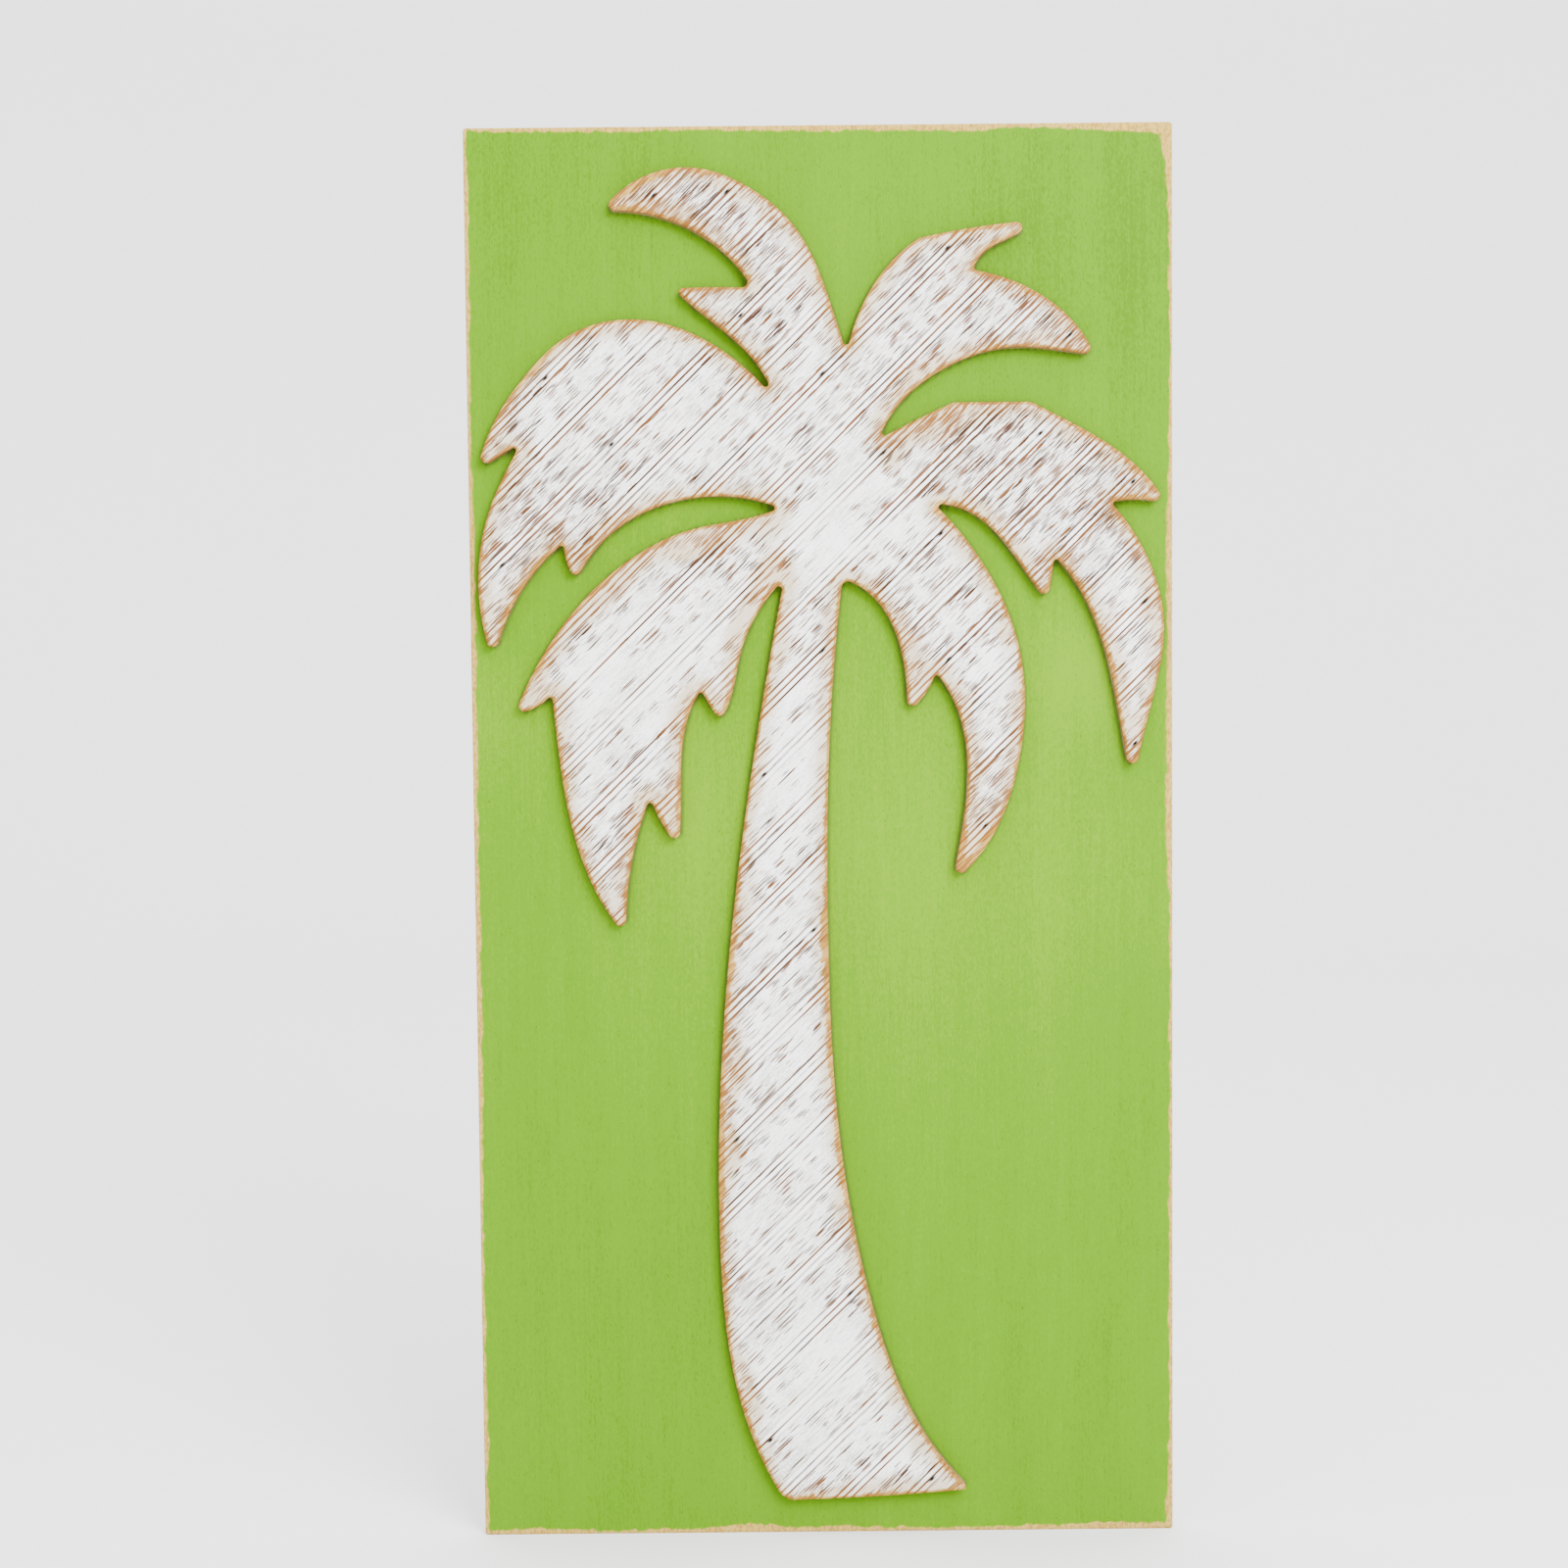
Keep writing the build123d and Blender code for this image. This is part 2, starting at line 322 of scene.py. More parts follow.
def grid_inside(loop, angle, spacing, margin):
    """Staggered points in rows along the grain, inside the loop and at least a margin from it."""
    axes = grain_axes(angle)
    border = loop @ axes.T
    ahead = np.roll(border, -1, 0)
    rows = []
    for k, v in enumerate(np.arange(border[:, 1].min(), border[:, 1].max(), spacing[1])):
        crossing = (border[:, 1] > v) != (ahead[:, 1] > v)
        a, b = border[crossing], ahead[crossing]
        cuts = np.sort(a[:, 0] + (v - a[:, 1]) / (b[:, 1] - a[:, 1]) * (b[:, 0] - a[:, 0]))
        for start, end in zip(cuts[::2], cuts[1::2]):
            first = math.ceil(start / spacing[0]) - (k % 2) / 2
            u = np.arange(first * spacing[0], end, spacing[0])
            rows.append(np.c_[u[u > start], np.full(np.sum(u > start), v)])
    points = np.vstack(rows) @ axes
    return points[edge_distance(points, loop) > margin]


def ellipse(centre, angle, radii, count):
    turn = np.arange(count) / count * 2 * math.pi
    return centre + np.c_[radii[0] * np.cos(turn), radii[1] * np.sin(turn)] @ grain_axes(angle)


def clear_of(points, centres, angle, radii):
    """Which points are outside the ellipses of these radii, along and across the grain, round the centres."""
    clear = np.ones(len(points), bool)
    for centre in centres:
        clear &= np.sum((((points - centre) @ grain_axes(angle).T) / radii) ** 2, 1) > 1
    return clear


# Meshes -------------------------------------------------------------------------------------------


def loop_edges(loops):
    """Pairs of neighbouring point numbers, for loops whose points are numbered one after another."""
    edges = []
    first = 0
    for loop in loops:
        edges += [(first + i, first + (i + 1) % len(loop)) for i in range(len(loop))]
        first += len(loop)
    return edges


def filled(loops, free, angle, spacing):
    """Triangles between the loops' points and the free points inside them, stretched along the grain."""
    points = np.vstack(loops + [free])
    scaled = (points @ grain_axes(angle).T) / spacing
    border = loop_edges(loops)
    result = delaunay_2d_cdt([Vector(p) for p in scaled], border, [], 1, 1e-6, False)
    if len(result[0]) != len(points):
        raise ValueError("two points of a sheet are in one place")
    triangles = [tuple(corners) for corners in result[2]]
    beside = {}
    for number, (a, b, c) in enumerate(triangles):
        beside[a, b] = beside[b, c] = beside[c, a] = number
    border = set(border)
    inside = {beside[edge] for edge in border}
    growing = list(inside)
    while growing:
        a, b, c = triangles[growing.pop()]
        for start, end in {(a, b), (b, c), (c, a)} - border:
            neighbour = beside[end, start]
            if neighbour not in inside:
                inside.add(neighbour)
                growing.append(neighbour)
    return [triangles[number] for number in sorted(inside)]


def solid(name, points, faces, crease):
    """An object from points in mm, smooth but for edges sharper than the crease angle."""
    mesh = bpy.data.meshes.new(name)
    mesh.from_pydata((points * MM).tolist(), [], faces)
    mesh.polygons.foreach_set("use_smooth", [True] * len(mesh.polygons))
    mesh.set_sharp_from_angle(angle=math.radians(crease))
    return placed(name, mesh)


def placed(name, mesh):
    piece = bpy.data.objects.new(name, mesh)
    bpy.context.scene.collection.objects.link(piece)
    return piece


def at_height(points, y):
    """The flat points (x, z) as points in space at that y."""
    return np.c_[points[:, 0], np.broadcast_to(y, len(points)), points[:, 1]]


def relief_sheet(name, loops, angle, spacing, rim_rows, flat_y, surface, faces_front):
    """A closed ply that is flat at flat_y and has relief on its other face. The first loop is the outline.
    surface takes points, distances to the rim and the openings' middles, and gives y and values to keep."""
    outline, openings = loops[0], loops[1:]
    rows = [outline + inward(outline) * d for d in rim_rows]
    free = np.vstack(rows + [grid_inside(outline, angle, spacing, rim_rows[-1] + 0.1)])
    middles = [opening.mean(0) for opening in openings]
    free = free[clear_of(free, middles, angle, PIN_CLEARANCE)]
    corners = np.vstack(loops + [free])
    height, kept = surface(corners, edge_distance(corners, outline), middles)
    border = np.vstack(loops)
    count = len(corners)
    outer = filled(loops, free, angle, spacing)
    inner = [tuple(count + i for i in face[::-1]) for face in filled(loops, free[:0], angle, spacing)]
    walls = [(b, a, count + a, count + b) for a, b in loop_edges(loops)]
    faces = outer + inner + walls
    if not faces_front:
        faces = [face[::-1] for face in faces]
    places = np.vstack([at_height(corners, height), at_height(border, flat_y)])
    piece = solid(name, places, faces, RELIEF_CREASE)
    for key, values in kept.items():
        attribute = piece.data.attributes.new(key, "FLOAT", "POINT")
        attribute.data.foreach_set("value", np.r_[values, values[: len(border)]].astype(np.float32))
    return piece


def slab(name, outline, y_front, y_back, levels, stand_out):
    """A solid of that outline. stand_out gives how far its side stands out, for a level from 0 to 1."""
    normal = inward(outline)
    count = len(outline)
    rows = [
        at_height(outline - normal * stand_out(level)[:, None], y_front + (y_back - y_front) * level)
        for level in levels
    ]
    front = filled([outline], outline[:0], 0, 1)
    back = [tuple((len(rows) - 1) * count + i for i in face[::-1]) for face in front]
    sides = [
        (r * count + b, r * count + a, (r + 1) * count + a, (r + 1) * count + b)
        for r in range(len(rows) - 1)
        for a, b in loop_edges([outline])
    ]
    return solid(name, np.vstack(rows), front + back + sides, SLAB_CREASE)


# Fields of relief and wear ------------------------------------------------------------------------

# Corner, spacing and number of a random field's cells, along and across the grain, in millimetres.
FIELD_ORIGIN = np.array((-330.0, -330.0))
FIELD_STEP = np.array((1.25, 0.17))
FIELD_COUNT = (528, 3900)
random = np.random.default_rng(SEED)


def streaks(length, width):
    """A random field in grain coordinates, unit spread, whose features have about this length and width."""
    noise = random.standard_normal(FIELD_COUNT)
    along = np.fft.fftfreq(FIELD_COUNT[0], FIELD_STEP[0])[:, None] * length
    across = np.fft.rfftfreq(FIELD_COUNT[1], FIELD_STEP[1])[None, :] * width
    gain = np.exp(-1.6 * (along**2 + across**2))
    field = np.fft.irfft2(np.fft.rfft2(noise) * gain, s=FIELD_COUNT)
    return field / field.std()


def sampled(field, grain_points):
    """Values of a field at grain coordinates, blended between its cells."""
    place = (grain_points - FIELD_ORIGIN) / FIELD_STEP
    cell = np.clip(np.floor(place).astype(int), 0, np.array(FIELD_COUNT) - 2)
    part = place - cell
    i, j = cell.T
    s, t = part.T
    near = field[i, j] * (1 - t) + field[i, j + 1] * t
    far = field[i + 1, j] * (1 - t) + field[i + 1, j + 1] * t
    return near * (1 - s) + far * s


def smoothstep(low, high, value):
    """Rises smoothly from 0 to 1 as the value goes from low to high."""
    t = np.clip((value - low) / (high - low), 0, 1)
    return t * t * (3 - 2 * t)


def spots(points, table):
    """Sum of soft round spots, each of x, z, radius and strength, at the points."""
    total = np.zeros(len(points))
    for x, z, radius, strength in table:
        total += strength * np.exp(-np.sum((points - (x, z)) ** 2, 1) / radius**2)
    return total


def arris(rim, width, depth):
    """How far a rounded rim has dropped, in mm, at a distance from the edge."""
    t = np.clip(1 - rim / width, 0, 1)
    return depth * (1 - np.sqrt(1 - t**2 * 0.999))


def palm_surface(points, rim, pins):
    """y of the palm's rough-sawn face, and the values its paint needs."""
    axes = grain_axes(PALM_GRAIN)
    grain = (points - GRAIN_ORIGIN) @ axes.T
    v = grain[:, 1]
    wear = 0.5 + spots(points, PALM_ZONES) + 0.10 * sampled(streaks(90, 30), grain)
    wear += 0.5 * np.exp(-rim / RIM_WEAR_REACH) + 0.4 * spots(points, PALM_RUST)
    offset = (v - BAND_SHIFT + BAND_PITCH / 2) % BAND_PITCH - BAND_PITCH / 2
    ridge_strength = np.clip(0.85 + 0.25 * sampled(streaks(70, 1.6), grain), 0.25, 1.2)
    ridge = sum(np.exp(-(((offset - r) / RIDGE_WIDTH) ** 2)) for r in BAND_RIDGES) * ridge_strength
    band_strength = smoothstep(-1.4, 1.6, sampled(streaks(34, 1.4), grain) + 1.5 * (wear - 0.5))
    band_groove = sum(np.exp(-(((offset - g) / BAND_GROOVE_WIDTH) ** 2)) for g in BAND_GROOVES)
    calm = 1 - np.clip(np.exp(-((offset / 2.6) ** 4)), 0, 1)
    dash_level = 1.75 - 1.15 * np.clip(wear, 0, 1.3)
    fine = sampled(streaks(7.5, 0.75), grain)
    long = sampled(streaks(19, 0.95), grain)
    short_dash = smoothstep(dash_level, dash_level + 0.8, fine)
    long_dash = smoothstep(dash_level + 0.5, dash_level + 1.2, long)
    dash = np.maximum(short_dash, long_dash) * (0.12 + 0.88 * calm)
    fuzz = sampled(streaks(16, 1.0), grain)
    height = RIDGE_HEIGHT * ridge + 0.012 * fuzz * calm
    height -= BAND_GROOVE_DEPTH * band_groove * (0.35 + 0.65 * band_strength)
    height -= DASH_DEPTH * dash
    width = 1.0 + 0.3 * sampled(streaks(30, 8), grain) + 0.25 * spots(points, PALM_SANDING)
    height -= arris(rim, np.clip(width, 0.6, 1.6), PALM_ARRIS_DEPTH)
    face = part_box("palm_face_veneer")[0].y / MM
    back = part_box("palm_face_veneer")[1].y / MM
    pin = 1.0 - clear_of(points, pins, PALM_GRAIN, PIN_STAIN_AND_SHADE)
    sanded = 1.2 + 0.4 * sampled(streaks(26, 12), grain) + 0.3 * sampled(streaks(8, 7), grain)
    sanded += spots(points, PALM_SANDING)
    rust = spots(points, PALM_RUST)
    kept = {"pin": pin, "rust": rust, "rim": rim, "sanded": sanded, "wear": np.clip(wear, 0, 1.5)}
    return np.minimum(face - height, back - 0.06), kept


def panel_surface(points, rim, palm_outline):
    """y of the panel's painted face, and the values its paint needs."""
    axes = grain_axes(PANEL_GRAIN)
    grain = (points - GRAIN_ORIGIN) @ axes.T
    sanded = 1.75 + 0.25 * sampled(streaks(70, 26), grain) + 0.12 * sampled(streaks(16, 6), grain)
    sanded += spots(points, PANEL_SANDING)
    width = np.clip(0.3 + 0.35 * sanded, 0.6, 3.0)
    relief = 0.012 * sampled(streaks(60, 3.4), grain) + 0.010 * sampled(streaks(24, 9), grain)
    height = np.minimum(relief - 0.02, 0) - arris(rim, width, PANEL_ARRIS_DEPTH)
    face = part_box("panel_face_veneer")[0].y / MM
    kept = {"rim": rim, "sanded": sanded, "pale": spots(points, PANEL_PALE_AND_LIT)}
    # Distance from the palm's outline, which places the painted contact shade beside it.
    kept["cutout"] = edge_distance(points, palm_outline)
    return face - height, kept


def back_surface(points, rim, _):
    """y of the panel's bare back, and the value its paint needs."""
    axes = grain_axes(PANEL_GRAIN)
    grain = (points - GRAIN_ORIGIN) @ axes.T
    relief = 0.016 * sampled(streaks(70, 3.0), grain)
    pores = smoothstep(1.3, 2.2, sampled(streaks(22, 2.8), grain))
    height = np.minimum(relief - 0.02, 0) - 0.03 * pores - arris(rim, *BACK_ARRIS)
    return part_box("panel_back_veneer")[1].y / MM + height, {"rim": rim}


# Materials ----------------------------------------------------------------------------------------


class Paint:
    """A material under construction. Sockets and plain values can both be given to its nodes."""

    def __init__(self, name, **finish):
        self.material = bpy.data.materials.new(name)
        self.material.use_nodes = True
        self.tree = self.material.node_tree
        self.shader = self.tree.nodes["Principled BSDF"]
        self.place = self.node("ShaderNodeTexCoord").outputs["Object"]
        for key, value in finish.items():
            self.set(self.shader, key.replace("_", " "), value)

    def node(self, kind, inputs=(), **settings):
        made = self.tree.nodes.new(kind)
        for key, value in settings.items():
            setattr(made, key, value)
        for key, value in dict(inputs).items():
            self.set(made, key, value)
        return made

    def set(self, node, key, value):
        if isinstance(value, bpy.types.NodeSocket):
            self.tree.links.new(value, node.inputs[key])
        else:
            node.inputs[key].default_value = value

    def scaled_place(self, size, angle, seed):
        """Coordinates along the grain, in depth and across it, in units of this size in mm."""
        mapping = self.node(
            "ShaderNodeMapping",
            {
                "Vector": self.place,
                "Location": (seed, seed * 0.7, seed * 1.3),
                "Rotation": (0, -math.radians(angle), 0),
                "Scale": tuple(s * MM for s in size),
            },
            vector_type="TEXTURE",
        )
        return mapping.outputs["Vector"]

    def noise(self, size, angle=0.0, detail=2.0, rough=0.5, seed=0.0):
        """Noise from 0 to 1 whose features have this size, in mm, along the grain, in depth and across it."""
        scaled = self.scaled_place(size, angle, seed)
        made = self.node(
            "ShaderNodeTexNoise", {"Vector": scaled, "Scale": 1.0, "Detail": detail, "Roughness": rough}
        )
        return made.outputs["Fac"]

    def strokes(self, length, width, angle, presence, seed=0.0):
        """Spindle-shaped marks, from 0 to 1, one in each irregular cell of this length and width in mm.
        Presence is the share of the marks that are there."""
        place = self.scaled_place((length, STROKE_DEPTH, width), angle, seed)
        scaled = self.node("ShaderNodeSeparateXYZ", {0: place})
        flat = self.node("ShaderNodeCombineXYZ", {"X": scaled.outputs["X"], "Y": scaled.outputs["Z"]})
        cells = self.node(
            "ShaderNodeTexVoronoi",
            {"Vector": flat.outputs[0], "Scale": 1.0, "Randomness": 1.0},
            voronoi_dimensions="2D",
        )
        drawn = self.node("ShaderNodeSeparateColor", {0: cells.outputs["Color"]}).outputs
        shown = self.step(self.math("SUBTRACT", presence, drawn["Red"]), -0.06, 0.06)
        shown = self.math("MULTIPLY", shown, self.scaled(drawn["Green"], 0.45, 0.55))
        spindle = self.step(cells.outputs["Distance"], STROKE_EDGE[1], STROKE_EDGE[0])
        return self.math("MULTIPLY", shown, spindle)

    def value(self, name):
        """A value kept at the mesh's points."""
        return self.node("ShaderNodeAttribute", attribute_name=name).outputs["Fac"]

    def math(self, operation, a, b=0.0):
        return self.node("ShaderNodeMath", {0: a, 1: b}, operation=operation).outputs[0]

    def scaled(self, a, factor, offset=0.0):
        return self.node("ShaderNodeMath", {0: a, 1: factor, 2: offset}, operation="MULTIPLY_ADD").outputs[0]

    def step(self, a, low, high, bottom=0.0, top=1.0):
        """Rises smoothly from bottom to top as a goes from low to high."""
        made = self.node(
            "ShaderNodeMapRange",
            {"Value": a, "From Min": low, "From Max": high, "To Min": bottom, "To Max": top},
            interpolation_type="SMOOTHSTEP",
        )
        return made.outputs["Result"]

    def band_offset(self):
        """Distance across the grain, in mm, from the middle of the nearest band of saw ridges."""
        axis = grain_axes(PALM_GRAIN)[1] / MM
        shift = (-GRAIN_ORIGIN[0] * MM, 0, -GRAIN_ORIGIN[1] * MM)
        shifted = self.node("ShaderNodeVectorMath", {0: self.place, 1: shift}, operation="ADD").outputs[0]
        normal = (axis[0], 0, axis[1])
        across = self.node("ShaderNodeVectorMath", {0: shifted, 1: normal}, operation="DOT_PRODUCT")
        distance = self.scaled(across.outputs["Value"], 1.0, -BAND_SHIFT)
        offset = self.node(
            "ShaderNodeMath", {0: distance, 1: BAND_PITCH / 2, 2: -BAND_PITCH / 2}, operation="WRAP"
        )
        return self.math("ABSOLUTE", offset.outputs[0])

    def mix(self, factor, a, b):
        """Colour a, or b where the factor is 1."""
        made = self.node("ShaderNodeMix", data_type="RGBA")
        for socket, value in zip((made.inputs[0], made.inputs[6], made.inputs[7]), (factor, a, b)):
            if isinstance(value, tuple):
                socket.default_value = (*value, 1.0)
            else:
                self.tree.links.new(value, socket)
        return made.outputs[2]

    def finish(self, colour, roughness, height=None, depth=0.0):
        """Joins colour, roughness and, if given, a height of this depth in mm to the shader."""
        self.set(self.shader, "Base Color", colour)
        self.set(self.shader, "Roughness", roughness)
        if height is not None:
            bump = self.node("ShaderNodeBump", {"Height": height, "Distance": depth * MM, "Strength": 1.0})
            self.tree.links.new(bump.outputs["Normal"], self.shader.inputs["Normal"])
        return self.material


# Base colours, as linear red, green and blue.
WHITE = (0.88, 0.88, 0.87)
THIN_WHITE = (0.40, 0.385, 0.355)
WARM_WHITE = (0.47, 0.37, 0.22)
GROOVE_DARK = (0.036, 0.0125, 0.004)
GROOVE_BROWN = (0.125, 0.042, 0.008)
TAN = (0.27, 0.133, 0.014)
TAN_PALE = (0.42, 0.26, 0.065)
ORANGE_BROWN = (0.20, 0.075, 0.010)
GREEN = (0.078, 0.200, 0.0)
GREEN_DARK = (0.058, 0.152, 0.0)
GREEN_LIGHT = (0.116, 0.252, 0.002)
# Painted contact shade: the darker green laid along the palm's outline.
GREEN_CONTACT_SHADE = (0.056, 0.084, 0.016)
BACK_PALE = (0.30, 0.190, 0.078)
BACK_TAN = (0.205, 0.110, 0.035)
BACK_BROWN = (0.105, 0.046, 0.014)
BACK_GREY = (0.150, 0.100, 0.056)
BACK_KNOT = (0.045, 0.020, 0.009)
PIN_SHADE = (0.010, 0.008, 0.006)
CREAM = (0.42, 0.29, 0.066)
CREAM_DARK = (0.29, 0.165, 0.030)
GREEN_SPECK = (0.03, 0.06, 0.0)

# A core's sawn edge: dark and light wood, and the smear of finish on it.
PALM_EDGE = ((0.15, 0.072, 0.027), (0.31, 0.165, 0.06), (0.48, 0.40, 0.31))
PANEL_EDGE = ((0.24, 0.130, 0.045), (0.42, 0.27, 0.115), (0.16, 0.24, 0.02))

# Metals: clean and tarnished. The pins' steel is near black: painted shade of the holes the pins sit in.
ZINC = ((0.36, 0.37, 0.385), (0.20, 0.205, 0.215))
NAIL_STEEL = ((0.22, 0.22, 0.22), (0.10, 0.095, 0.09))
PIN_STEEL_SHADED = ((0.012, 0.010, 0.009), (0.005, 0.004, 0.004))
RUBBER = (0.012, 0.012, 0.013)
RUBBER_DUST = (0.055, 0.052, 0.048)
PAPER = (0.65, 0.65, 0.655)
PAPER_LIGHT = (0.68, 0.68, 0.685)


def whitewash():
    """Whitewash over rough-sawn veneer: bare grooves, thin patches, and a sanded band along the rim."""
    p = Paint("whitewashed_veneer", Specular_IOR_Level=0.15)
    hair = p.noise((9.0, 6.0, 0.60), PALM_GRAIN, 2, seed=0.1)
    speck = p.noise((0.9, 0.9, 0.45), PALM_GRAIN, 1, seed=1.9)
    comb = p.noise((11.0, 8.0, 1.1), PALM_GRAIN, 3, 0.6, seed=0.3)
    cloud = p.noise((34.0, 20.0, 12.0), PALM_GRAIN, 3, seed=0.5)
    clump = p.noise((26.0, 20.0, 7.0), PALM_GRAIN, 2, seed=1.7)
    hue = p.noise((24.0, 8.0, 3.0), PALM_GRAIN, 2, seed=0.7)
    rim = p.value("rim")
    wear = p.value("wear")
    side = p.band_offset()
    ridge = p.step(p.math("ABSOLUTE", p.math("SUBTRACT", side, BAND_RIDGES[1])), 1.0, 0.25)
    groove = p.math(
        "MAXIMUM",
        p.step(side, 0.60, 0.2),
        p.step(p.math("ABSOLUTE", p.math("SUBTRACT", side, BAND_GROOVES[2])), 0.60, 0.2),
    )
    lasting = p.noise((60.0, 20.0, 1.6), PALM_GRAIN, 3, 0.6, seed=2.1)
    lasting = p.math("ADD", lasting, p.scaled(wear, 0.20))
    groove = p.math("MULTIPLY", groove, p.step(lasting, 0.45, 0.68, 0.15, 0.86))
    presence = p.math("ADD", p.scaled(wear, 0.76), p.scaled(clump, 1.8, -0.9))
    presence = p.math("SUBTRACT", presence, p.scaled(ridge, 0.5))
    marks = p.math(
        "MAXIMUM",
        p.strokes(10.0, 0.78, PALM_GRAIN, presence, 0.9),
        p.strokes(21.0, 1.15, PALM_GRAIN, p.scaled(presence, 0.62), 1.3),
    )
    bare = p.math("MAXIMUM", marks, groove)
    scuffs = p.strokes(8.0, 0.68, PALM_GRAIN, p.scaled(presence, 0.8), 2.7)
    reach = p.math("SUBTRACT", p.value("sanded"), rim)
    reach = p.math("ADD", reach, p.scaled(comb, 7.0, -3.5))
    sanded = p.math("MULTIPLY", p.step(reach, -0.25, 0.45), p.step(rim, 10.0, 4.0))
    arris = p.step(p.math("ADD", rim, p.scaled(comb, 1.6, -0.8)), 1.3, 0.7)
    sanded = p.math("MAXIMUM", sanded, arris)
    thin = p.math("ADD", p.scaled(cloud, 1.3, -0.65), p.scaled(hair, 2.1, -1.05))
    thin = p.math("ADD", thin, p.scaled(speck, 1.3, -0.65))
    thin = p.math("ADD", thin, p.scaled(wear, 0.25))
    thin = p.math("SUBTRACT", thin, p.scaled(ridge, 0.4))
    paint = p.mix(p.step(thin, -0.30, 0.9), WHITE, THIN_WHITE)
    rust = p.value("rust")
    warm = p.math("ADD", rim, p.scaled(cloud, 16.0, -8.0))
    warm = p.math("SUBTRACT", warm, p.scaled(rust, 10.0))
    warm = p.math("SUBTRACT", warm, p.scaled(presence, 3.0))
    paint = p.mix(p.step(warm, 9.0, 0.5, 0, 0.8), paint, WARM_WHITE)
    wood = p.mix(p.step(hue, 0.35, 0.65), TAN, TAN_PALE)
    wood = p.mix(p.step(hair, 0.50, 0.72, 0, 0.8), wood, ORANGE_BROWN)
    surface = p.mix(sanded, paint, wood)
    brown = p.mix(p.step(hue, 0.38, 0.60), GROOVE_DARK, GROOVE_BROWN)
    warm = p.math("SUBTRACT", rim, p.scaled(rust, 8.0))
    brown = p.mix(p.step(warm, 6.0, 0.0, 0, 0.85), brown, ORANGE_BROWN)
    surface = p.mix(p.scaled(scuffs, 0.7), surface, ORANGE_BROWN)
    colour = p.mix(p.step(bare, 0.0, 0.8), surface, brown)
    # A dark ring round each pin opening: partly stain, partly painted shade of the hole.
    colour = p.mix(p.value("pin"), colour, PIN_SHADE)
    height = p.math("SUBTRACT", p.scaled(hair, 0.8), bare)
    return p.finish(colour, p.step(sanded, 0, 1, 0.62, 0.75), height, 0.10)


def green_paint():
    """Satin lime green over vertical veneer, sanded through to the wood along the rim."""
    p = Paint("green_paint", Specular_IOR_Level=0.04)
    streak = p.noise((40.0, 10.0, 1.1), PANEL_GRAIN, 3, 0.6, seed=0.2)
    broad = p.noise((240.0, 60.0, 26.0), PANEL_GRAIN, 4, 0.6, seed=0.4)
    fibre = p.noise((1.7, 4.0, 0.7), PANEL_GRAIN, 2, seed=0.6)
    comb = p.noise((9.0, 6.0, 3.6), PANEL_GRAIN, 4, 0.6, seed=0.8)
    speck = p.noise((1.1, 1.1, 0.9), PANEL_GRAIN, 0, seed=1.1)
    tone = p.math("ADD", p.scaled(streak, 0.8, -0.4), p.scaled(broad, 1.0, -0.5))
    tone = p.math("ADD", tone, p.scaled(fibre, 1.5, -0.75))
    # The pale spots are partly thinner paint and partly painted light and shade: lighter over the middle,
    # darker at the top corners.
    tone = p.math("ADD", tone, p.value("pale"))
    green = p.mix(p.step(tone, -0.6, 0.0), GREEN_DARK, GREEN)
    green = p.mix(p.step(tone, 0.0, 0.9), green, GREEN_LIGHT)
    green = p.mix(p.step(speck, 0.80, 0.84, 0, 0.5), green, GREEN_SPECK)
    # Painted contact shade: the green darkens within about 2 mm of the palm's outline, all round it.
    green = p.mix(p.step(p.value("cutout"), 2.0, 0.2, 0, 0.85), green, GREEN_CONTACT_SHADE)
    rim = p.value("rim")
    reach = p.math("SUBTRACT", p.value("sanded"), rim)
    reach = p.math("ADD", reach, p.scaled(comb, 4.0, -2.0))
    bare = p.step(reach, -0.4, 0.6)
    wood = p.mix(p.step(fibre, 0.40, 0.66), CREAM, CREAM_DARK)
    colour = p.mix(bare, green, wood)
    height = p.math("ADD", p.scaled(streak, 0.7), p.scaled(fibre, 0.3))
    return p.finish(colour, p.step(bare, 0, 1, 0.46, 0.75), height, 0.03)


def ply_edge(name, node, dark, light, smear):
    """A ply core's sawn edge, with fibres that run along it, a smear of finish and dark glue lines."""
    p = Paint(name, Specular_IOR_Level=0.2)
    low, high = (corner.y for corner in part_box(node))
    depth = p.node("ShaderNodeSeparateXYZ", {0: p.place}).outputs["Y"]
    from_middle = p.math("ABSOLUTE", p.math("SUBTRACT", depth, (low + high) / 2))
    fibre = p.noise((7.0, 0.22, 7.0), 0.0, 4, 0.6, seed=0.15)
    patch = p.noise((14.0, 3.0, 14.0), 0.0, 3, seed=0.35)
    grit = p.noise((0.5, 0.5, 0.5), 0.0, 2, seed=0.55)
    wood = p.mix(p.step(fibre, 0.32, 0.68), dark, light)
    wood = p.mix(p.step(patch, 0.55, 0.75, 0, 0.6), wood, smear)
    wood = p.mix(p.step(grit, 0.62, 0.8, 0, 0.5), wood, tuple(c * 0.45 for c in dark))
    half = (high - low) / 2
    glue = p.step(from_middle, half - GLUE_WIDTH * MM, half - GLUE_WIDTH * MM * 0.4, 0, 0.8)
    colour = p.mix(glue, wood, tuple(c * 0.25 for c in dark))
    height = p.math("ADD", fibre, p.scaled(grit, 0.5))
    return p.finish(colour, 0.8, height, 0.08)


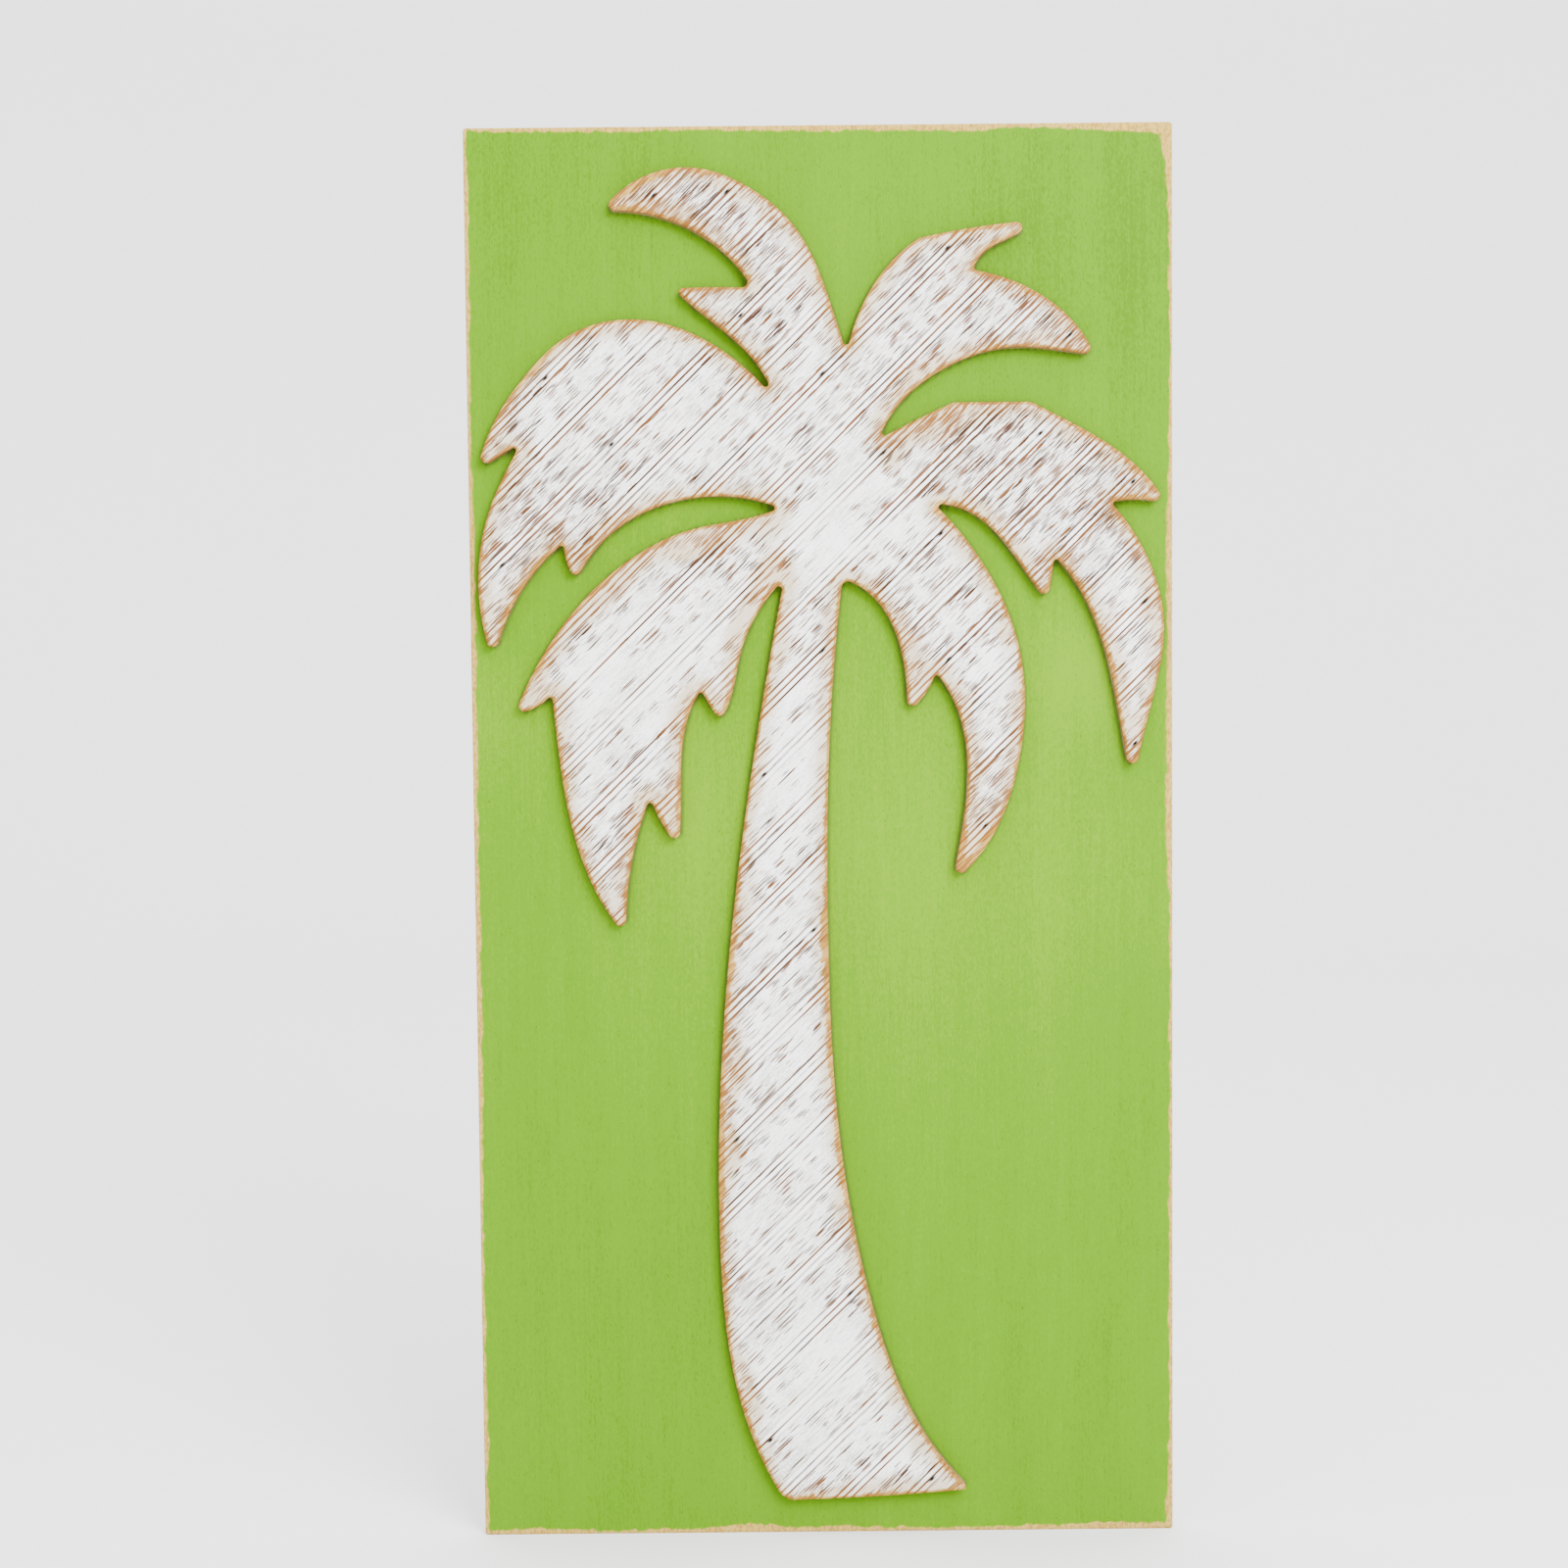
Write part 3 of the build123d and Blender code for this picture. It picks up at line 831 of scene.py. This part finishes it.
def back_wood(name, angle, paint_at_rim=False):
    """Bare veneer with flat-sawn figure, pores, pin knots and, if asked for, paint crept round its rim."""
    p = Paint(name, Specular_IOR_Level=0.25)
    growth = p.noise((420.0, 90.0, 62.0), angle, 2, 0.4, seed=0.45)
    rings = p.math("SINE", p.scaled(growth, 95.0))
    figure = p.noise((220.0, 60.0, 7.0), angle, 4, 0.55, seed=0.25)
    fibre = p.noise((16.0, 8.0, 0.4), angle, 4, 0.6, seed=0.65)
    stain = p.noise((90.0, 40.0, 60.0), angle, 3, seed=0.85)
    knot = p.noise((17.0, 17.0, 11.0), angle, 0, seed=1.7)
    pores = p.strokes(10.0, 0.9, angle, p.step(figure, 0.40, 0.66, 0.12, 0.6), 2.3)
    wood = p.mix(p.step(rings, 0.1, 1.0, 0, 0.75), BACK_PALE, BACK_TAN)
    wood = p.mix(p.step(figure, 0.42, 0.72, 0, 0.7), wood, BACK_TAN)
    wood = p.mix(p.step(fibre, 0.50, 0.78, 0, 0.6), wood, BACK_BROWN)
    wood = p.mix(p.step(stain, 0.52, 0.80, 0, 0.45), wood, BACK_GREY)
    wood = p.mix(p.step(knot, 0.815, 0.87, 0, 0.8), wood, BACK_BROWN)
    wood = p.mix(p.step(knot, 0.860, 0.88, 0, 0.9), wood, BACK_KNOT)
    wood = p.mix(p.scaled(pores, 0.7), wood, BACK_BROWN)
    if paint_at_rim:
        crept = p.math("ADD", p.value("rim"), p.scaled(stain, 22.0, -9.4))
        crept = p.math("ADD", crept, p.scaled(fibre, 3.0, -1.5))
        wood = p.mix(p.step(crept, 1.6, 0.2, 0, 0.9), wood, GREEN)
    height = p.math("SUBTRACT", p.math("ADD", fibre, p.scaled(rings, 0.15)), pores)
    return p.finish(wood, 0.72, height, 0.06)


def metal(name, colours, roughness, spangle):
    """Metal with mottled tarnish, of spangles of this size in mm, and fine scratches."""
    p = Paint(name, Metallic=1.0)
    mottle = p.noise((spangle,) * 3, 0.0, 3, seed=0.3)
    scratch = p.noise((6.0, 0.5, 0.12), 12.0, 3, 0.6, seed=0.5)
    tone = p.math("ADD", p.scaled(mottle, 0.7), p.scaled(scratch, 0.3))
    mixed = p.mix(p.step(tone, 0.38, 0.66), *colours)
    rough = p.step(scratch, 0.35, 0.7, roughness, roughness + 0.22)
    return p.finish(mixed, rough, scratch, 0.012)


def rubber():
    """Black moulded rubber with dust in its grain."""
    p = Paint("black_rubber", Specular_IOR_Level=0.35)
    grain = p.noise((0.5, 0.5, 0.5), 0.0, 3, seed=0.2)
    dust = p.noise((5.0, 5.0, 5.0), 0.0, 3, seed=0.4)
    colour = p.mix(p.step(dust, 0.45, 0.75, 0, 0.5), RUBBER, RUBBER_DUST)
    return p.finish(colour, p.step(grain, 0.3, 0.7, 0.5, 0.75), grain, 0.04)


def backdrop():
    """Matt white studio paper."""
    p = Paint("studio_paper", Specular_IOR_Level=0.0)
    cloud = p.noise((900.0, 900.0, 900.0), 0.0, 2, seed=0.2)
    return p.finish(p.mix(cloud, PAPER, PAPER_LIGHT), 1.0)


# Pieces -------------------------------------------------------------------------------------------


def dressed(piece, material, slot, *replaced):
    """Gives a new piece its material and body, and hides the CAD nodes that it stands for. The slot is not
    used.
    """
    piece.data.materials.clear()
    piece.data.materials.append(material)
    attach(piece, "root")
    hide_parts(*replaced)
    return piece


def repainted(node, material):
    """Gives a CAD node, which keeps its shape, its material."""
    for slot in nodes[node].material_slots:
        slot.link = "OBJECT"
        slot.material = material


def saw_marks(outline, depth):
    """Returns how far a sawn side stands out, in mm, at each point of the outline for a level from 0 to 1."""
    along = np.cumsum(np.linalg.norm(np.roll(outline, -1, 0) - outline, axis=1))
    chatter = random.standard_normal(len(outline))
    chatter = np.convolve(np.r_[chatter[-2:], chatter, chatter[:2]], (0.2, 0.6, 1.0, 0.6, 0.2), "valid")

    def bulge(level):
        lean = np.sin(along * 2.1 + level * 3.0) * 0.35 + chatter * 0.4
        return depth * lean * math.sin(math.pi * level) ** 0.7

    return bulge


def palm_plies():
    """Makes the cutout's three plies, and returns their outline."""
    loops = flat_loops("palm_face_veneer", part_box("palm_face_veneer")[1].y)
    outline = anticlockwise(smoothed(loops[0], PALM_OUTLINE_STEP))
    middles = [hole.mean(0) for hole in loops[1:]]
    openings = [ellipse(middle, PALM_GRAIN, PIN_OPENING, PIN_OPENING_POINTS)[::-1] for middle in middles]
    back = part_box("palm_face_veneer")[1].y / MM
    face = relief_sheet(
        "palm_face", [outline] + openings, PALM_GRAIN, PALM_SPACING, PALM_RIM_ROWS, back, palm_surface, True
    )
    dressed(face, whitewash(), "whitewashed_veneer", "palm_face_veneer")
    marks = saw_marks(outline, PALM_SAW_DEPTH)
    low, high = (corner.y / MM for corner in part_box("palm_core"))
    core = slab("palm_edge_core", outline, low, high, CORE_LEVELS, marks)
    dressed(core, ply_edge("palm_core_edge", "palm_core", *PALM_EDGE), "plywood_core", "palm_core")
    low, high = (corner.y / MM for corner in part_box("palm_back_veneer"))
    rear = slab("palm_edge_back", outline, low, high, VENEER_LEVELS, marks)
    dressed(rear, back_wood("palm_back_wood", PALM_GRAIN), "plywood_back", "palm_back_veneer")
    return outline


def panel_plies(palm_outline):
    """Makes the panel's three plies."""
    loops = flat_loops("panel_back_veneer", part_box("panel_back_veneer")[0].y)
    outline = anticlockwise(smoothed(loops[0], PANEL_OUTLINE_STEP))
    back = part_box("panel_face_veneer")[1].y / MM

    def surface(points, rim, _):
        return panel_surface(points, rim, palm_outline)

    face = relief_sheet(
        "panel_face", [outline], PANEL_GRAIN, PANEL_SPACING, PANEL_RIM_ROWS, back, surface, True
    )
    dressed(face, green_paint(), "green_paint", "panel_face_veneer")
    low, high = (corner.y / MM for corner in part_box("panel_core"))
    core = slab("panel_edge_core", outline, low, high, CORE_LEVELS, saw_marks(outline, PANEL_SAW_DEPTH))
    dressed(core, ply_edge("panel_core_edge", "panel_core", *PANEL_EDGE), "plywood_core", "panel_core")
    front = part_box("panel_back_veneer")[0].y / MM
    rear = relief_sheet(
        "panel_back", [outline], PANEL_GRAIN, BACK_SPACING, PANEL_RIM_ROWS[:4], front, back_surface, False
    )
    dressed(rear, back_wood("panel_back_wood", PANEL_GRAIN, True), "plywood_back", "panel_back_veneer")


def fittings():
    """Materials for the metal and rubber pieces, which keep their CAD shape."""
    repainted("sawtooth_hanger", metal("zinc_steel", ZINC, 0.30, 2.5))
    repainted("hanger_nails", metal("nail_steel", NAIL_STEEL, 0.35, 0.8))
    # The pins' steel is painted near black, as the shade of their holes.
    repainted("pin_nails", metal("pin_steel", PIN_STEEL_SHADED, 0.5, 0.4))
    black = rubber()
    repainted("left_bumper", black)
    repainted("right_bumper", black)


# Studio -------------------------------------------------------------------------------------------


def studio_profile():
    """Radius and height along the floor, the rounded corner and the wall."""
    turn = np.linspace(0, math.pi / 2, STUDIO_CORNER_POINTS)
    flat = [(r, 0.0) for r in STUDIO_FLOOR_RADII]
    corner_start = STUDIO_RADIUS - STUDIO_CORNER
    corner = [(corner_start + STUDIO_CORNER * math.sin(t), STUDIO_CORNER * (1 - math.cos(t))) for t in turn]
    return flat + corner + [(STUDIO_RADIUS, STUDIO_HEIGHT)]


def studio():
    """A round seamless floor and wall of pale paper, so that every view has the same plain ground."""
    profile = studio_profile()
    around = STUDIO_SIDES
    points = [(0.0, 0.0, 0.0)]
    for radius, height in profile[1:]:
        for k in range(around):
            turn = 2 * math.pi * k / around
            points.append((radius * math.cos(turn), radius * math.sin(turn), height))
    faces = [(0, 1 + k, 1 + (k + 1) % around) for k in range(around)]
    for r in range(len(profile) - 2):
        for k in range(around):
            a, b = 1 + r * around + k, 1 + r * around + (k + 1) % around
            faces.append((a, a + around, b + around, b))
    mesh = bpy.data.meshes.new("studio")
    mesh.from_pydata(points, [], faces)
    mesh.polygons.foreach_set("use_smooth", [True] * len(mesh.polygons))
    mesh.materials.append(backdrop())
    placed("studio", mesh)


def area_light(name, place, target, size, power):
    """A rectangular light of that size, place and power that shines at the target."""
    light = bpy.data.lights.new(name, "AREA")
    light.shape = "RECTANGLE"
    light.size, light.size_y = size
    light.energy = power
    lamp = bpy.data.objects.new(name, light)
    lamp.location = place
    lamp.rotation_euler = (Vector(target) - Vector(place)).to_track_quat("-Z", "Y").to_euler()
    bpy.context.scene.collection.objects.link(lamp)


def lights():
    """An even white sky and the area lights."""
    sky = bpy.data.worlds.new("studio_sky")
    sky.use_nodes = True
    sky.node_tree.nodes["Background"].inputs["Color"].default_value = (1.0, 1.0, 1.0, 1.0)
    sky.node_tree.nodes["Background"].inputs["Strength"].default_value = SKY_STRENGTH
    bpy.context.scene.world = sky
    for lamp in LIGHTS:
        area_light(*lamp)


def camera():
    """A 54 mm lens a metre in front, a little above the panel's middle and looking slightly down."""
    data = bpy.data.cameras.new("camera")
    data.lens = LENS
    data.sensor_width = 36.0
    data.clip_start = 0.02
    eye = bpy.data.objects.new("camera", data)
    eye.location = EYE
    eye.rotation_euler = [math.radians(turn) for turn in EYE_TURNS]
    bpy.context.scene.collection.objects.link(eye)
    bpy.context.scene.camera = eye


panel_plies(palm_plies())
fittings()
studio()
lights()
camera()
